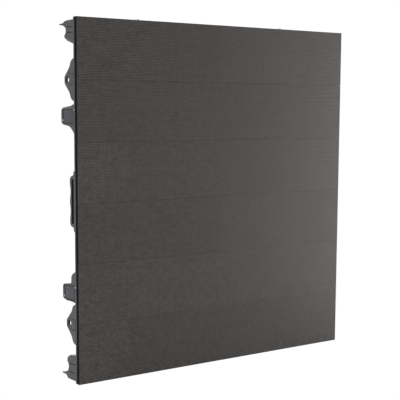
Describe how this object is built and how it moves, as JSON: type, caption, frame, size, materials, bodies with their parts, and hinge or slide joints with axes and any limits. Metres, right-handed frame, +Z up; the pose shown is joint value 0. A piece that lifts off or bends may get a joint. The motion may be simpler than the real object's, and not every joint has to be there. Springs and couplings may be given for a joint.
{
  "type": "rgb led matrix panel",
  "caption": "Full-colour display cabinet: a square wall of louvred pixel modules on a cast frame with joining plates, hand slots and a rear control box.",
  "frame": {"origin": "middle of the footprint, on the floor under the cabinet", "axes": "+Z up, -Y out of the lit face, +X to the right of someone who looks at the lit face"},
  "size_m": [0.96, 0.085, 0.966],
  "materials": {
    "frame": "satin powder coat on cast aluminium, dark grey",
    "mask": "matt black louvred plastic",
    "shell": "black moulded plastic",
    "lock_housing": "satin dark grey",
    "lock_cover": "satin dark grey",
    "rubber": "black silicone rubber",
    "circuit_board": "green solder resist",
    "steel": "zinc-plated steel",
    "supply_case": "plain folded aluminium",
    "socket": "black moulded plastic",
    "control_box": "satin powder coat on cast aluminium, dark grey"
  },
  "bodies": {
    "root": {"cabinet_frame": "frame", "module_mask_r1_c1": "mask", "module_mask_r1_c2": "mask", "module_mask_r1_c3": "mask", "module_mask_r2_c1": "mask", "module_mask_r2_c2": "mask", "module_mask_r2_c3": "mask", "module_mask_r3_c1": "mask", "module_mask_r3_c2": "mask", "module_mask_r3_c3": "mask", "module_mask_r4_c1": "mask", "module_mask_r4_c2": "mask", "module_mask_r4_c3": "mask", "module_mask_r5_c1": "mask", "module_mask_r5_c2": "mask", "module_mask_r5_c3": "mask", "module_mask_r6_c1": "mask", "module_mask_r6_c2": "mask", "module_mask_r6_c3": "mask", "module_shell_r1_c1": "shell", "module_shell_r1_c2": "shell", "module_shell_r1_c3": "shell", "module_shell_r2_c1": "shell", "module_shell_r2_c2": "shell", "module_shell_r2_c3": "shell", "module_shell_r3_c1": "shell", "module_shell_r3_c2": "shell", "module_shell_r3_c3": "shell", "module_shell_r4_c1": "shell", "module_shell_r4_c2": "shell", "module_shell_r4_c3": "shell", "module_shell_r5_c1": "shell", "module_shell_r5_c2": "shell", "module_shell_r5_c3": "shell", "module_shell_r6_c1": "shell", "module_shell_r6_c2": "shell", "module_shell_r6_c3": "shell", "module_boards": "circuit_board", "module_gaskets": "rubber", "module_screws": "steel", "lock_housing_upper_left": "lock_housing", "lock_housing_lower_left": "lock_housing", "lock_housing_upper_right": "lock_housing", "lock_housing_lower_right": "lock_housing", "lock_cover_upper_left": "lock_cover", "lock_cover_lower_left": "lock_cover", "lock_cover_upper_right": "lock_cover", "lock_cover_lower_right": "lock_cover", "locating_pin_left": "steel", "locating_pin_right": "steel", "control_tray": "control_box", "cover_gasket": "rubber", "control_cover": "control_box", "power_supply_left": "supply_case", "power_supply_right": "supply_case", "receiving_card": "circuit_board", "hub_board": "circuit_board", "power_sockets": "socket", "data_sockets": "socket", "housing_screws": "steel"}
  },
  "joints": []
}
